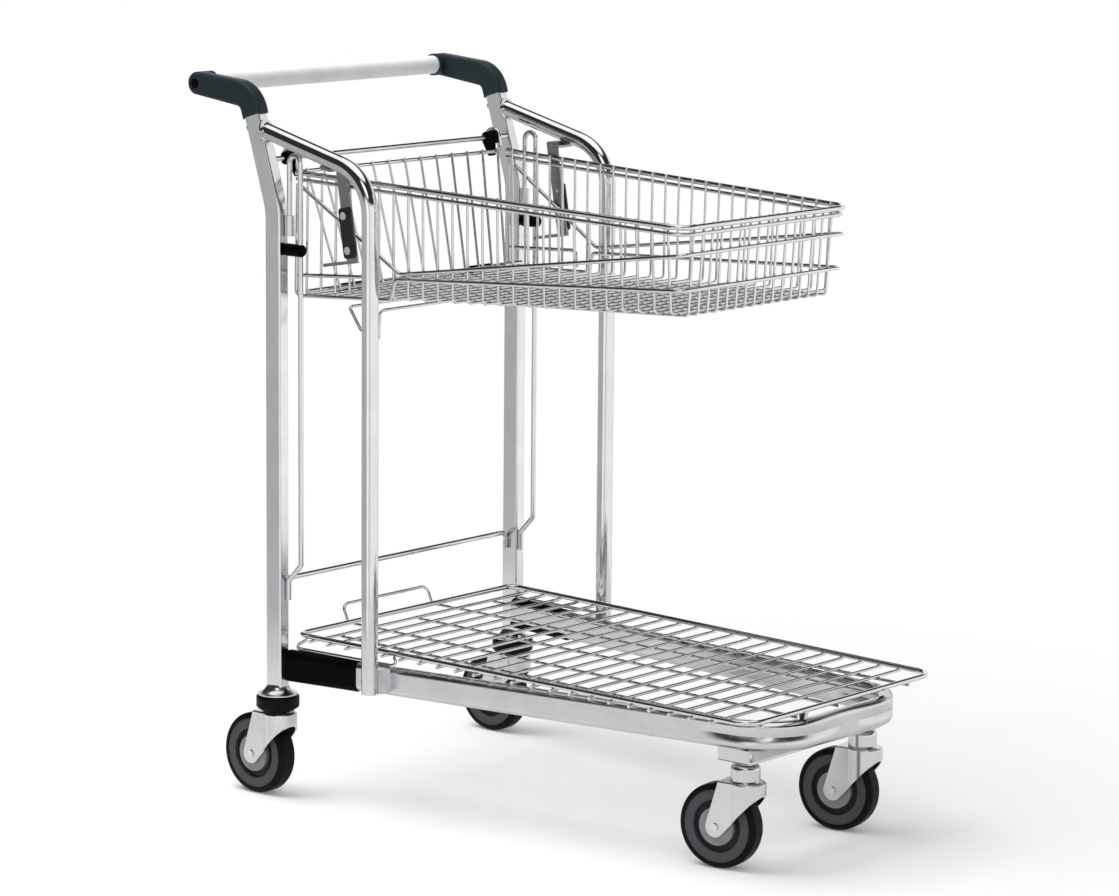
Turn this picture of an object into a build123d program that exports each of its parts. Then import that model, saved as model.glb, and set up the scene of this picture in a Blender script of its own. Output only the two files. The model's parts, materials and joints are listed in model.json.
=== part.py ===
from build123d import *
import math
import os

os.makedirs("parts", exist_ok=True)

# A nesting shop trolley: tubular frame, wire basket with a swinging rear gate,
# a wire deck that lifts about its front rod, and four swivel castors.
# Millimetres, +X forward, +Y to the trolley's left, +Z up.
# The origin is on the floor, in the middle of the overall length and width.

# Overall sizes; every drop below is measured down from the handle's middle
overall_length = 1050.0
handle_height = 1081.0
post_spread = 550.0
front_track = 285.0

# Air left at a weld, around a pushed-in piece and around a turning one
weld_gap = 0.1
push_gap = 0.2
run_gap = 0.08
swivel_gap = 0.4
rest_gap = 0.3

# Castors
wheel_diameter = 125.0
wheel_width = 32.0
tyre_depth = 9.0
tyre_shoulder = 8.0
castor_trail = 38.0
front_castor_turn = 8.0
fork_sheet = 3.0
fork_air = 2.0
fork_round = 2.5
leg_foot = 15.0
plate_back = 33.0
bell_centre = 5.0
bell_radius = 26.0
bell_blend = 8.0
bell_drop = 17.0
crown_air = 3.5
race_height = 2.5
race_radius = 22.0
race_taper = 30.0
king_pin_radius = 6.0
axle_radius = 4.5
stem_height = 25.0
front_cup_radius = 21.5
cup_round = 7.0
cup_neck = 2.0
cup_neck_radius = 12.5
rear_core_radius = 13.0
bumper_radius = 33.0
bumper_neck_radius = 26.0

# Frame tubes
post_depth = 30.0
post_width = 20.0
tube_wall = 1.5
post_bend_drop = 180.5
post_bend_radius = 100.0
post_lean = 17.0
post_top_drop = 19.0
foot_cone_height = 12.5
hoop_diameter = 25.0
hoop_reach = 190.0
hoop_bend = 75.0
hoop_start_drop = 65.0
hoop_fall = 14.6
hoop_collar = 3.0
rail_height = 44.0
rail_width = 20.0
rail_corner = 9.0
rail_bend = 82.0
rail_rear_inset = 12.1
rail_front_spread = 301.6
sleeve_length = 128.0
sleeve_wall = 2.3
sleeve_lip = 9.0
bridge_height = 22.0
bridge_sheet = 4.0
bridge_fold = 6.0
bridge_half = 162.0
bridge_front = 19.0
bridge_rear = 36.0
front_stem_inset = 77.5

# Handle
handle_reach = 143.0
handle_bar_diameter = 29.0
bracket_end_radius = 17.5
bracket_width = 26.0
bracket_wall = 3.0
bracket_collar = 10.0
bracket_elbow = 56.0
bracket_crook = 11.0
bracket_round = 6.5

# Guide rods and the low cross bar
guide_diameter = 8.0
guide_forward = 30.0
guide_inset = 4.5
cross_bar_height = 334.0

# Basket, measured forward from the back of the posts
rim_diameter = 8.0
band_diameter = 6.0
wire_diameter = 4.0
rim_rear_x = 25.0
rim_front_x = 728.0
rim_rear_drop = 126.0
rim_front_drop = 158.0
rim_rear_inset = 33.0
rim_front_half = 197.0
rim_drop = 10.0
floor_rear_x = 50.0
floor_front_x = 714.0
floor_rear_drop = 310.5
floor_front_drop = 282.0
floor_rear_inset = 37.0
floor_front_half = 182.0
front_draft = 0.07
basket_bend = 28.0
band_bend = 14.0
band_ease = 0.1
diagonal_ease = 2.7
upper_band_drop = 39.0
lower_band_drop = 90.0
diagonal_foot_rise = 39.0
step_rise = 31.0
stay_rise = 31.0
side_wire_count = 25
side_wire_start = 42.0
side_wire_pitch = 27.3
front_wire_count = 16
front_wire_pitch = 21.8

# Gate
gate_rod_diameter = 6.0
pivot_x = 2.0
pivot_drop = 106.0
gate_top_x = 20.0
gate_top_drop = 126.0
gate_top_inset = 42.0
gate_bottom_inset = 81.0
gate_wire_count = 13
gate_bush_radius = 10.0
bush_inner_inset = 58.0
stop_radius = 6.0

# Deck
deck_rod = 8.0
deck_wire = 5.0
deck_long = 5.0
deck_rear_x = 33.0
deck_rear_inset = 25.0
deck_front_half = 222.5
deck_hinge_rise = 12.6
deck_slope = 0.0145
deck_wire_count = 22
deck_wire_start = 63.0
deck_wire_end = 65.5
deck_wire_over = 7.0
deck_loop_half = 98.0
deck_outer_half = 178.0
deck_seam_y = 188.0
saddle_half = 97.0

# Derived places
post_bend_height = handle_height - post_bend_drop
post_top_height = handle_height - post_top_drop
hoop_start_height = handle_height - hoop_start_drop
rim_rear_z = handle_height - rim_rear_drop
rim_front_z = handle_height - rim_front_drop
floor_rear_z = handle_height - floor_rear_drop
floor_front_z = handle_height - floor_front_drop
pivot_z = handle_height - pivot_drop
gate_top_z = handle_height - gate_top_drop
post_y = post_spread / 2
rim_rear_half = post_y - rim_rear_inset
floor_rear_half = post_y - floor_rear_inset
gate_top_half = post_y - gate_top_inset
gate_bottom_half = post_y - gate_bottom_inset
bush_inner_half = post_y - bush_inner_inset
deck_rear_half = post_y - deck_rear_inset
back_x = -overall_length / 2 + bracket_end_radius + handle_reach
front_x = overall_length / 2
post_x = back_x + post_depth / 2
post_front = post_x + post_depth / 2
handle_x = back_x - handle_reach
hoop_x = post_x + hoop_reach
hoop_r = hoop_diameter / 2
wheel_r = wheel_diameter / 2
plate_bottom = wheel_diameter + crown_air
plate_top = plate_bottom + fork_sheet
crown_top = plate_top + race_height
stem_bottom = crown_top + swivel_gap
stem_top = stem_bottom + stem_height
rail_bottom = stem_top + bridge_height + weld_gap
rail_top = rail_bottom + rail_height
rail_middle = rail_bottom + rail_height / 2
post_bottom = stem_top + foot_cone_height
front_stem_x = front_x - front_stem_inset
front_stem_y = front_track / 2
lean = math.radians(post_lean)
lean_up = (-math.sin(lean), math.cos(lean))
lean_out = (math.cos(lean), math.sin(lean))


def save(piece, label):
    """Name one piece and write it out."""
    piece.label = label
    export_step(piece, f"parts/{label}.step")


def straight(start, end, diameter):
    """One straight round rod."""
    run = Vector(*end) - Vector(*start)
    with BuildPart() as bar:
        with BuildSketch(Plane(origin=start, z_dir=run)):
            Circle(diameter / 2)
        extrude(amount=run.length)
    return bar.part


def bent(points, diameter, bend):
    """One round rod bent through the points."""
    with BuildPart() as bar:
        with BuildLine() as route:
            FilletPolyline(*points, radius=bend)
        with BuildSketch(Plane(origin=route.line @ 0, z_dir=route.line % 0)):
            Circle(diameter / 2)
        sweep()
    return bar.part


def side_plane(y):
    """A plane across the trolley at y: local x forward, local y up."""
    return Plane(origin=(0, y, 0), x_dir=(1, 0, 0), z_dir=(0, -1, 0))


def leaning(along, across):
    """A point in the leaning top of the post, as x and z."""
    x = post_x + along * lean_up[0] + across * lean_out[0]
    z = post_bend_height + along * lean_up[1] + across * lean_out[1]
    return x, z


# Posts: upright tubes that lean back at the top, with a hole for the hoop bolt
post_top_run = (post_top_height - post_bend_height) / math.cos(lean)
hoop_bolt_run = (hoop_start_height - post_bend_height) / math.cos(lean) + 9
bolt_shank = 4.0
for name, sign in (("left", 1), ("right", -1)):
    y = sign * post_y
    top_x, top_z = leaning(post_top_run, 0)
    hole_x, hole_z = leaning(hoop_bolt_run, -post_depth / 2)
    with BuildPart() as post:
        with BuildLine() as route:
            FilletPolyline(
                (post_x, y, post_bottom), (post_x, y, post_bend_height), (top_x, y, top_z),
                radius=post_bend_radius,
            )
        with BuildSketch(Plane(origin=route.line @ 0, x_dir=(1, 0, 0), z_dir=(0, 0, 1))):
            RectangleRounded(post_depth, post_width, 3)
            RectangleRounded(post_depth - 2 * tube_wall, post_width - 2 * tube_wall, 1.5, mode=Mode.SUBTRACT)
        sweep()
        with BuildSketch(Plane(origin=(hole_x, y, hole_z), z_dir=(lean_out[0], 0, lean_out[1]))):
            Circle(bolt_shank)
        extrude(amount=tube_wall * 2, both=True, mode=Mode.SUBTRACT)
    save(post.part, f"{name}_post")

# Post feet: a flared foot under each post with a plug inside the tube
foot_radius = bumper_radius - 2
foot_rim = 1.5
foot_rise = post_bottom - stem_top - 2 * weld_gap
foot_top_radius = math.hypot(post_depth, post_width) / 2
with BuildPart() as post_feet:
    for sign in (1, -1):
        y = sign * post_y
        with BuildSketch(Plane((post_x, y, stem_top + weld_gap), x_dir=(1, 0, 0), z_dir=(0, -1, 0))):
            with BuildLine():
                Polyline((0, foot_rise), (0, 0), (foot_radius, 0), (foot_radius, foot_rim))
                ThreePointArc(
                    (foot_radius, foot_rim),
                    (foot_top_radius + 4.5, foot_rise * 0.42),
                    (foot_top_radius, foot_rise),
                )
                Line((foot_top_radius, foot_rise), (0, foot_rise))
            make_face()
        revolve(axis=Axis((post_x, y, 0), (0, 0, 1)))
        with BuildSketch(Plane((post_x, y, post_bottom - weld_gap))):
            RectangleRounded(
                post_depth - 2 * tube_wall - 2 * push_gap, post_width - 2 * tube_wall - 2 * push_gap, 1.2
            )
        extrude(amount=35)
        with BuildSketch(Plane((post_x, y, stem_top))):
            Circle(king_pin_radius + push_gap)
        extrude(amount=30, mode=Mode.SUBTRACT)
save(post_feet.part, "post_feet")

# Rubber bumper rings round the rear castor stems, each on a narrower neck
bumper_lift = 3.0
with BuildPart() as bumper_rings:
    for sign in (1, -1):
        with BuildSketch(Plane((post_x, sign * post_y, stem_bottom + bumper_lift))):
            Circle(bumper_radius)
        extrude(amount=stem_height - bumper_lift - rest_gap)
    rounds = bumper_rings.edges().filter_by(GeomType.CIRCLE)
    fillet(rounds, 5)
    for sign in (1, -1):
        with BuildSketch(Plane((post_x, sign * post_y, stem_bottom + rest_gap))):
            Circle(bumper_neck_radius)
        extrude(amount=bumper_lift)
        with BuildSketch(Plane((post_x, sign * post_y, stem_bottom))):
            Circle(rear_core_radius + push_gap)
        extrude(amount=stem_height, mode=Mode.SUBTRACT)
save(bumper_rings.part, "bumper_rings")

# Castor stems: cup or core, threaded top and a riveted king pin below
pin_head_radius = king_pin_radius + 3
pin_head_top = plate_bottom - swivel_gap
stem_places = (
    (front_stem_x, front_stem_y, front_cup_radius),
    (front_stem_x, -front_stem_y, front_cup_radius),
    (post_x, post_y, rear_core_radius),
    (post_x, -post_y, rear_core_radius),
)
with BuildPart() as castor_stems:
    for x, y, core in stem_places:
        with BuildSketch(Plane((x, y, stem_bottom))):
            Circle(core)
        extrude(amount=stem_height - cup_neck)
    cup_edges = castor_stems.edges().filter_by(GeomType.CIRCLE)
    cup_edges = cup_edges.filter_by(lambda edge: edge.radius > front_cup_radius - 1)
    fillet(cup_edges.group_by(Axis.Z)[-1], cup_round)
    for x, y, core in stem_places:
        with BuildSketch(Plane((x, y, stem_top - cup_neck))):
            Circle(cup_neck_radius)
        extrude(amount=cup_neck)
        with BuildSketch(Plane((x, y, pin_head_top))):
            Circle(king_pin_radius)
        extrude(amount=stem_top + 18 - pin_head_top)
        with BuildSketch(Plane((x, y, pin_head_top))):
            Circle(pin_head_radius)
        extrude(amount=-3)
save(castor_stems.part, "castor_stems")

# Hoops: sloping tops that bend down to the base, with an oval collar on the face of the posts
hoop_slope = math.tan(math.radians(hoop_fall))
hoop_corner_z = hoop_start_height - hoop_slope * (hoop_x - back_x)
face_out = post_depth / 2 + weld_gap
collar_rise = hoop_start_height - hoop_slope * (post_x + face_out * lean_out[0] - back_x)
collar_rise -= post_bend_height + face_out * lean_out[1]
collar_run = collar_rise / (lean_up[1] + hoop_slope * lean_up[0])
face_x, face_z = leaning(collar_run, face_out)
collar_stretch = math.cos(lean + math.radians(hoop_fall))
hoop_bottom = rail_bottom + 6
for name, sign in (("left", 1), ("right", -1)):
    y = sign * post_y
    inner_x = back_x - post_depth / 2
    inner_z = hoop_start_height - hoop_slope * (inner_x - back_x)
    with BuildPart() as hoop:
        with BuildLine() as route:
            FilletPolyline(
                (inner_x, y, inner_z), (hoop_x, y, hoop_corner_z), (hoop_x, y, hoop_bottom),
                radius=hoop_bend,
            )
        with BuildSketch(Plane(origin=route.line @ 0, z_dir=route.line % 0)):
            Circle(hoop_r)
            Circle(hoop_r - tube_wall, mode=Mode.SUBTRACT)
        sweep()
        with BuildSketch(Plane(origin=(face_x, y, face_z), z_dir=(lean_out[0], 0, lean_out[1]))):
            Rectangle(4 * hoop_diameter, 4 * hoop_diameter)
        extrude(amount=-4 * hoop_diameter, mode=Mode.SUBTRACT)
        with BuildSketch(
            Plane(
                origin=(face_x, y, face_z),
                x_dir=(lean_up[0], 0, lean_up[1]),
                z_dir=(lean_out[0], 0, lean_out[1]),
            )
        ):
            Ellipse(hoop_r / collar_stretch + hoop_collar, hoop_r + hoop_collar)
        extrude(amount=hoop_collar)
    save(hoop.part, f"{name}_hoop")

# Base rail: one flat tube from post to post round the front
rail_rear = (post_front, post_y - rail_rear_inset, rail_middle)
rail_corner_point = (front_x - rail_width / 2, rail_front_spread / 2, rail_middle)
rail_run = Vector(*rail_corner_point) - Vector(*rail_rear)
rail_way = rail_run.normalized()
rail_taper = -rail_run.Y / rail_run.X
rail_angle = math.atan(rail_taper)
rail_start_x = post_front - rail_width
rail_start_y = rail_rear[1] + rail_taper * rail_width
with BuildPart() as base_rail:
    with BuildLine() as route:
        FilletPolyline(
            (rail_start_x, rail_start_y, rail_middle),
            rail_corner_point,
            (rail_corner_point[0], -rail_corner_point[1], rail_middle),
            (rail_start_x, -rail_start_y, rail_middle),
            radius=rail_bend,
        )
    with BuildSketch(Plane(origin=route.line @ 0, x_dir=(0, 0, 1), z_dir=route.line % 0)):
        RectangleRounded(rail_height, rail_width, rail_corner)
        RectangleRounded(
            rail_height - 2 * tube_wall, rail_width - 2 * tube_wall, rail_corner - tube_wall,
            mode=Mode.SUBTRACT,
        )
    sweep()
    split(bisect_by=Plane(origin=(post_front + weld_gap, 0, 0), z_dir=(1, 0, 0)), keep=Keep.TOP)
save(base_rail.part, "base_rail")

# Dark sleeves over the rear ends of the base rail, open along the inner side
with BuildPart() as rail_sleeves:
    for sign in (1, -1):
        with BuildSketch(
            Plane(
                origin=(rail_start_x, sign * rail_start_y, rail_middle),
                x_dir=(0, 0, 1),
                z_dir=(rail_way.X, sign * rail_way.Y, 0),
            )
        ):
            RectangleRounded(
                rail_height + 2 * push_gap + 2 * sleeve_wall,
                rail_width + 2 * push_gap + 2 * sleeve_wall,
                rail_corner + sleeve_wall,
            )
            RectangleRounded(
                rail_height + 2 * push_gap, rail_width + 2 * push_gap, rail_corner + push_gap,
                mode=Mode.SUBTRACT,
            )
            with Locations((0, sign * (rail_width / 2 + push_gap + sleeve_wall / 2))):
                Rectangle(rail_height - 2 * sleeve_lip, 2 * sleeve_wall, mode=Mode.SUBTRACT)
        extrude(amount=rail_width + sleeve_length)
    split(bisect_by=Plane(origin=(post_front + rest_gap, 0, 0), z_dir=(1, 0, 0)), keep=Keep.TOP)
sleeve_top = rail_top + push_gap + sleeve_wall
save(rail_sleeves.part, "rail_sleeves")

# Hoop feet: saddle blocks between the hoop bottoms and the rail
rail_half_across = rail_width / 2 / math.cos(rail_angle)


def rail_outer(x):
    """Half width to the outer face of the straight rail at x."""
    return rail_rear[1] - rail_taper * (x - post_front) + rail_half_across


foot_back = hoop_x - hoop_r - 4
foot_front = hoop_x + hoop_r + 4
with BuildPart() as hoop_feet:
    for sign in (1, -1):
        with BuildSketch(Plane.XY.offset(hoop_bottom)):
            with BuildLine():
                Polyline(
                    (foot_back, sign * (rail_outer(foot_back) + weld_gap)),
                    (foot_front, sign * (rail_outer(foot_front) + weld_gap)),
                    (hoop_x + hoop_r - 2, sign * (post_y - 6)),
                    (hoop_x - hoop_r + 2, sign * (post_y - 6)),
                    close=True,
                )
            make_face()
            with Locations((hoop_x, sign * post_y)):
                Circle(hoop_r + weld_gap, mode=Mode.SUBTRACT)
        extrude(amount=rail_top - 2 - hoop_bottom)
save(hoop_feet.part, "hoop_feet")

# Castor bridge under the front of the rail: a folded plate that carries the front stems
bridge_bottom = stem_top + weld_gap
bridge_top = rail_bottom - weld_gap
with BuildPart() as castor_bridge:
    with BuildSketch(Plane.YZ.offset(front_stem_x - bridge_rear)):
        with BuildLine():
            FilletPolyline(
                (-bridge_half, bridge_top),
                (-bridge_half, bridge_bottom),
                (bridge_half, bridge_bottom),
                (bridge_half, bridge_top),
                radius=bridge_fold,
            )
            Line((bridge_half, bridge_top), (bridge_half - bridge_sheet, bridge_top))
            FilletPolyline(
                (bridge_half - bridge_sheet, bridge_top),
                (bridge_half - bridge_sheet, bridge_bottom + bridge_sheet),
                (-bridge_half + bridge_sheet, bridge_bottom + bridge_sheet),
                (-bridge_half + bridge_sheet, bridge_top),
                radius=bridge_fold - bridge_sheet,
            )
            Line((-bridge_half + bridge_sheet, bridge_top), (-bridge_half, bridge_top))
        make_face()
    extrude(amount=bridge_rear + bridge_front)
    for sign in (1, -1):
        with BuildSketch(Plane((front_stem_x, sign * front_stem_y, bridge_bottom))):
            Circle(king_pin_radius + push_gap)
        extrude(amount=bridge_sheet, mode=Mode.SUBTRACT)
save(castor_bridge.part, "castor_bridge")

# Low cross bar between the posts, its ends turned down against them
bar_half = post_y - post_width / 2 - guide_diameter / 2 - weld_gap
bar_x = post_x - 5
bar_drop = 26.0
cross_bar = bent(
    [
        (bar_x, bar_half, cross_bar_height - bar_drop),
        (bar_x, bar_half, cross_bar_height),
        (bar_x, -bar_half, cross_bar_height),
        (bar_x, -bar_half, cross_bar_height - bar_drop),
    ],
    guide_diameter,
    12,
)
save(cross_bar, "low_cross_bar")

# Guide rods in front of the posts: sockets and clips hold them
guide_y = post_y - guide_inset
guide_x = post_front + guide_forward
guide_r = guide_diameter / 2
socket_radius = guide_r + 3.5
leg_x = post_front + socket_radius + weld_gap
low_x = post_front + guide_r + weld_gap
hoop_under = hoop_start_height - hoop_slope * (guide_x - back_x)
hoop_under -= hoop_r / math.cos(math.radians(hoop_fall))
guide_top = hoop_under - guide_r - rest_gap
socket_bottom = post_bend_height - 38
socket_height = 31.0
top_bend = (guide_x - leg_x) / 2 - 0.05
for name, sign in (("left", 1), ("right", -1)):
    y = sign * guide_y
    guide_rod = bent(
        [
            (low_x, y, cross_bar_height - 27),
            (low_x, y, cross_bar_height + 2),
            (guide_x, y, cross_bar_height + 29),
            (guide_x, y, guide_top),
            (leg_x, y, guide_top),
            (leg_x, y, socket_bottom + 8),
        ],
        guide_diameter,
        [8, 8, top_bend, top_bend],
    )
    save(guide_rod, f"{name}_guide_rod")
with BuildPart() as guide_sockets:
    for sign in (1, -1):
        with BuildSketch(Plane((leg_x, sign * guide_y, socket_bottom))):
            Circle(socket_radius)
            Circle(guide_r + run_gap, mode=Mode.SUBTRACT)
        extrude(amount=socket_height)
save(guide_sockets.part, "guide_sockets")
clip_radius = 9.5
clip_round = 5.0
clip_drop = 20.5
clip_back = post_front + rest_gap
clip_length = guide_x + guide_r + 3 - clip_back
with BuildPart() as guide_clips:
    for sign in (1, -1):
        clip_place = (clip_back, sign * (guide_y + 1), socket_bottom - clip_drop)
        with BuildSketch(Plane(clip_place, z_dir=(1, 0, 0))):
            Circle(clip_radius)
        extrude(amount=clip_length)
    fillet(guide_clips.edges().filter_by(GeomType.CIRCLE), clip_round)
    for sign in (1, -1):
        with BuildSketch(Plane((guide_x, sign * guide_y, socket_bottom - clip_drop))):
            Circle(guide_r + run_gap)
        extrude(amount=clip_radius + 1, both=True, mode=Mode.SUBTRACT)
save(guide_clips.part, "guide_clips")

# Basket reference lines
wire_r = wire_diameter / 2
rim_r = rim_diameter / 2
band_r = band_diameter / 2


def between(s, s0, v0, s1, v1):
    """Straight-line value at s between two known stations."""
    return v0 + (s - s0) / (s1 - s0) * (v1 - v0)


def rim_z(s):
    return between(s, rim_rear_x, rim_rear_z, rim_front_x, rim_front_z)


def rim_half(s):
    return between(s, rim_rear_x, rim_rear_half, rim_front_x, rim_front_half)


def floor_z(s):
    return between(s, floor_rear_x, floor_rear_z, floor_front_x, floor_front_z)


def floor_half(s):
    return between(s, floor_rear_x, floor_rear_half, floor_front_x, floor_front_half)


def wall_half(s, z):
    """Half width to the middle of the side wires at a station and height."""
    top = rim_half(s) - rim_r - wire_r - weld_gap
    return between(z, rim_z(s), top, floor_z(s), floor_half(s))


def front_s(z):
    """Station of the middle of the front wires at a height."""
    return rim_front_x - rim_r - wire_r - weld_gap - (rim_front_z - z) * front_draft


def outside(s, z, sign, ease=band_ease):
    """A point on a band rod lying against the outside of the side wires."""
    half = wall_half(s, z) + wire_r + band_r + weld_gap + ease
    return (back_x + s, sign * half, z)


# Basket rims: a heavy rod and a lighter one just under it, open at the rear
rim_upper = bent(
    [
        (back_x + rim_rear_x, rim_rear_half, rim_rear_z),
        (back_x + rim_front_x, rim_front_half, rim_front_z),
        (back_x + rim_front_x, -rim_front_half, rim_front_z),
        (back_x + rim_rear_x, -rim_rear_half, rim_rear_z),
    ],
    rim_diameter,
    basket_bend,
)
lower_front_z = rim_front_z - rim_drop
lower_front_s = front_s(lower_front_z) + wire_r + band_r + weld_gap + 0.3
rim_lower = bent(
    [
        outside(rim_rear_x, rim_rear_z - rim_drop, 1, 0.3),
        outside(lower_front_s, lower_front_z, 1, 0.3),
        outside(lower_front_s, lower_front_z, -1, 0.3),
        outside(rim_rear_x, rim_rear_z - rim_drop, -1, 0.3),
    ],
    band_diameter,
    basket_bend,
)
with BuildPart() as basket_rims:
    add([rim_upper, rim_lower])
save(basket_rims.part, "basket_rims")

# Upper band: falls from the rear of the rim, then runs forward round the front
upper_front_z = rim_front_z - upper_band_drop
upper_front_s = front_s(upper_front_z) + wire_r + band_r + weld_gap + band_ease
diagonal_s = 33.0
diagonal_z = rim_z(diagonal_s) - rim_drop - band_diameter - 1.7
diagonal_foot_s = 222.0
diagonal_foot_z = floor_z(diagonal_foot_s) + diagonal_foot_rise
upper_band = bent(
    [
        outside(diagonal_s, diagonal_z, 1, diagonal_ease),
        outside(diagonal_foot_s, diagonal_foot_z, 1),
        outside(upper_front_s, upper_front_z, 1),
        outside(upper_front_s, upper_front_z, -1),
        outside(diagonal_foot_s, diagonal_foot_z, -1),
        outside(diagonal_s, diagonal_z, -1, diagonal_ease),
    ],
    band_diameter,
    [14, band_bend, band_bend, 14],
)
save(upper_band, "basket_upper_band")

# Lower band: down the rear corner, along the floor, up and round the front
corner_s = rim_rear_x + 2
corner_top = rim_z(corner_s) - rim_drop - band_diameter - 0.2
step_s = 205.0
step_top = floor_z(step_s) + step_rise
lower_front_z2 = rim_front_z - lower_band_drop
lower_front_s2 = front_s(lower_front_z2) + wire_r + band_r + weld_gap + band_ease
half_band = [
    (corner_s, corner_top),
    (corner_s, floor_z(corner_s)),
    (step_s, floor_z(step_s)),
    (step_s + 9, step_top),
    (lower_front_s2, lower_front_z2),
]
lower_band = bent(
    [outside(s, z, 1) for s, z in half_band] + [outside(s, z, -1) for s, z in reversed(half_band)],
    band_diameter,
    [10, 8, 8, band_bend, band_bend, 8, 8, 10],
)
stay_rear_s = corner_s + band_diameter + weld_gap
stay_z = floor_z(stay_rear_s) + stay_rise
stay_front_s = 176.0
stays = [
    bent(
        [
            outside(stay_rear_s, stay_z, sign),
            outside(stay_front_s, stay_z + 8, sign),
            outside(stay_front_s + 2, floor_z(stay_front_s) + band_diameter + 0.5, sign),
        ],
        band_diameter,
        8,
    )
    for sign in (1, -1)
]
with BuildPart() as basket_lower_band:
    add([lower_band] + stays)
save(basket_lower_band.part, "basket_lower_band")

# Basket wires: side walls and front wall turn in at the floor, the floor net fills between
turn_in = 16.0
butt_gap = 0.2
side_stations = [side_wire_start + i * side_wire_pitch for i in range(side_wire_count)]
front_rows = [(i - (front_wire_count - 1) / 2) * front_wire_pitch for i in range(front_wire_count)]
for name, sign in (("left", 1), ("right", -1)):
    walls = [
        bent(
            [
                (back_x + s, sign * wall_half(s, rim_z(s) + rim_r), rim_z(s) + rim_r),
                (back_x + s, sign * floor_half(s), floor_z(s)),
                (back_x + s, sign * (floor_half(s) - turn_in), floor_z(s)),
            ],
            wire_diameter,
            7,
        )
        for s in side_stations
    ]
    with BuildPart() as side_wires:
        add(walls)
    save(side_wires.part, f"basket_{name}_wires")
long_drop = wire_diameter + weld_gap
front_floor_z = floor_z(front_s(floor_front_z)) - long_drop
front_floor_s = front_s(front_floor_z)
turn_s = front_floor_s - turn_in
turn_z = floor_z(turn_s) - long_drop
front_walls = [
    bent(
        [
            (back_x + front_s(rim_front_z + rim_r), y, rim_front_z + rim_r),
            (back_x + front_floor_s, y, front_floor_z),
            (back_x + turn_s, y, turn_z),
        ],
        wire_diameter,
        7,
    )
    for y in front_rows
]
with BuildPart() as basket_front_wires:
    add(front_walls)
save(basket_front_wires.part, "basket_front_wires")
net = [
    straight(
        (back_x + s, -floor_half(s) + turn_in + butt_gap, floor_z(s)),
        (back_x + s, floor_half(s) - turn_in - butt_gap, floor_z(s)),
        wire_diameter,
    )
    for s in side_stations
]
net_rear_s = side_wire_start - 4
net += [
    straight(
        (back_x + net_rear_s, y, floor_z(net_rear_s) - long_drop),
        (back_x + turn_s - butt_gap, y, floor_z(turn_s - butt_gap) - long_drop),
        wire_diameter,
    )
    for y in front_rows
]
with BuildPart() as basket_floor_wires:
    add(net)
save(basket_floor_wires.part, "basket_floor_wires")

# Rear rod of the basket, lying on the lower band, with the sleeves the gate rests on
stop_s = floor_rear_x + 2
stop_z = floor_z(stop_s) + band_r + rim_r + weld_gap
stop_half = wall_half(stop_s, stop_z) + band_diameter + 2
rear_rod = straight((back_x + stop_s, -stop_half, stop_z), (back_x + stop_s, stop_half, stop_z), rim_diameter)
save(rear_rod, "basket_rear_rod")
stop_middle = 145.0
stop_length = 50.0
with BuildPart() as gate_stops:
    for sign in (1, -1):
        stop_place = (back_x + stop_s, sign * stop_middle, stop_z)
        with BuildSketch(Plane(stop_place, x_dir=(1, 0, 0), z_dir=(0, 1, 0))):
            Circle(stop_radius)
            Circle(rim_r + weld_gap, mode=Mode.SUBTRACT)
        extrude(amount=stop_length / 2, both=True)
save(gate_stops.part, "gate_stops")

# Bag hook under the rear of the basket floor: two legs across and a hanging end
hook_y = -192.0
hook_inner_y = front_rows[6]
hook_drop_z = 21.0
hook_z = floor_z(side_stations[3]) - hook_drop_z
hook_rear_s = 86.0
hook_front_s = 150.0
hook_slant = 24.0
hook_slant_drop = 33.0
hook_toe_back = 4.0
hook_toe_drop = 46.0
hook_wire = 5.0
hook_bend = 7.0
hook_air = 0.3
hook_reach = long_drop + wire_r + weld_gap
bag_hook = bent(
    [
        (back_x + hook_rear_s, hook_inner_y, floor_z(hook_rear_s) - hook_reach - hook_air),
        (back_x + hook_rear_s, hook_inner_y, hook_z),
        (back_x + hook_rear_s, hook_y, hook_z),
        (back_x + hook_rear_s + hook_slant, hook_y, hook_z - hook_slant_drop),
        (back_x + hook_front_s - hook_toe_back, hook_y, hook_z - hook_toe_drop),
        (back_x + hook_front_s, hook_y, hook_z),
        (back_x + hook_front_s, hook_inner_y, hook_z),
        (back_x + hook_front_s, hook_inner_y, floor_z(hook_front_s) - hook_reach - hook_air),
    ],
    hook_wire,
    hook_bend,
)
save(bag_hook, "bag_hook")

# Gate pivot: a rod between the posts carrying a dark bush at each end
pivot_half = post_y - post_width / 2 - weld_gap
gate_r = gate_rod_diameter / 2
pivot_rod = straight(
    (back_x + pivot_x, -pivot_half, pivot_z), (back_x + pivot_x, pivot_half, pivot_z), rim_diameter
)
save(pivot_rod, "gate_pivot_rod")
bush_length = 26.0
tail_thick = 11.0
tail_run = 25.0
tail_radius = 4.5
with BuildPart() as gate_bushes:
    for sign in (1, -1):
        bush_place = (back_x + pivot_x, sign * bush_inner_half, pivot_z)
        bush_plane = Plane(bush_place, x_dir=(1, 0, 0), z_dir=(0, sign, 0))
        with BuildSketch(bush_plane):
            Circle(gate_bush_radius)
        extrude(amount=bush_length)
        with BuildSketch(bush_plane):
            Circle(gate_bush_radius)
            with Locations((-tail_run * lean_up[0], sign * tail_run * lean_up[1])):
                Circle(tail_radius)
            make_hull()
        extrude(amount=tail_thick)
        with BuildSketch(bush_plane):
            Circle(rim_r + weld_gap)
        extrude(amount=bush_length, mode=Mode.SUBTRACT)
save(gate_bushes.part, "gate_bushes")

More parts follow.
